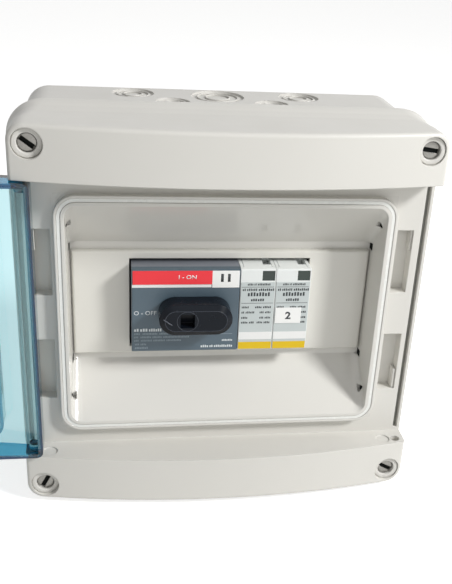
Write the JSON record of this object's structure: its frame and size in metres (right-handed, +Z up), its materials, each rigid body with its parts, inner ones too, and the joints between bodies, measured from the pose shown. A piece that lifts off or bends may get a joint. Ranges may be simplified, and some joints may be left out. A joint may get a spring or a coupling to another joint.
{
  "type": "dc protection box",
  "caption": "Surface-mount enclosure with a hinged clear tray door, holding a rotary disconnect and plug-in surge protectors on a top-hat rail.",
  "frame": {"origin": "centre of the flat back face that goes against the wall", "axes": "+Y out of the back face into the wall, -Y towards the front, +X to the right seen from the front, +Z up"},
  "size_m": [0.3925, 0.1, 0.2],
  "materials": {
    "box_plastic": "light grey moulded plastic, fine satin",
    "gasket": "dark grey foam",
    "lip_cord": "grey elastomer",
    "door_clear": "clear, tinted blue",
    "screw_metal": "zinc plated",
    "panel_plastic": "light grey, glossy",
    "rail_steel": "zinc plated strip",
    "switch_plastic": "dark grey",
    "switch_face_plastic": "blue grey",
    "handle_plastic": "near black, satin",
    "shaft_steel": "turned",
    "red_label": "printed film",
    "white_label": "printed film",
    "surge_plastic": "light grey",
    "surge_label": "printed film with a yellow bar",
    "indicator_pane": "dark window",
    "contact_brass": "bare"
  },
  "bodies": {
    "box": {"rear_base": "box_plastic", "cover_gasket": "gasket", "front_cover": "box_plastic", "lip_gasket": "lip_cord", "cover_screws": "screw_metal", "module_panel": "panel_plastic", "din_rail": "rail_steel", "rail_screws": "screw_metal", "switch_body": "switch_plastic", "switch_front": "switch_face_plastic", "switch_label": "red_label", "switch_sticker": "white_label", "switch_terminal_screws": "screw_metal", "surge_base_1": "surge_plastic", "surge_base_2": "surge_plastic", "surge_terminal_screws": "screw_metal"},
    "door": {"door": "door_clear"},
    "handle": {"switch_handle": "handle_plastic", "switch_shaft": "shaft_steel"},
    "cartridge_1": {"surge_cartridge_1": "surge_plastic", "surge_indicator_1": "indicator_pane", "surge_contacts_1": "contact_brass", "surge_label_1": "surge_label"},
    "cartridge_2": {"surge_cartridge_2": "surge_plastic", "surge_indicator_2": "indicator_pane", "surge_contacts_2": "contact_brass", "surge_label_2": "surge_label", "surge_sticker": "white_label"}
  },
  "joints": [
    {"name": "door_hinge", "type": "hinge", "parent": "box", "child": "door", "pos_m": [-0.095, -0.0863, 0], "axis": [0, 0, 1], "range_deg": [-12, 180]},
    {"name": "switch_turn", "type": "hinge", "parent": "box", "child": "handle", "pos_m": [-0.0195, -0.077, 0], "axis": [0, 1, 0], "range_deg": [0, 90]},
    {"name": "cartridge_1_pull", "type": "slide", "parent": "box", "child": "cartridge_1", "axis": [0, -1, 0], "range_m": [0, 0.016]},
    {"name": "cartridge_2_pull", "type": "slide", "parent": "box", "child": "cartridge_2", "axis": [0, -1, 0], "range_m": [0, 0.016]}
  ]
}
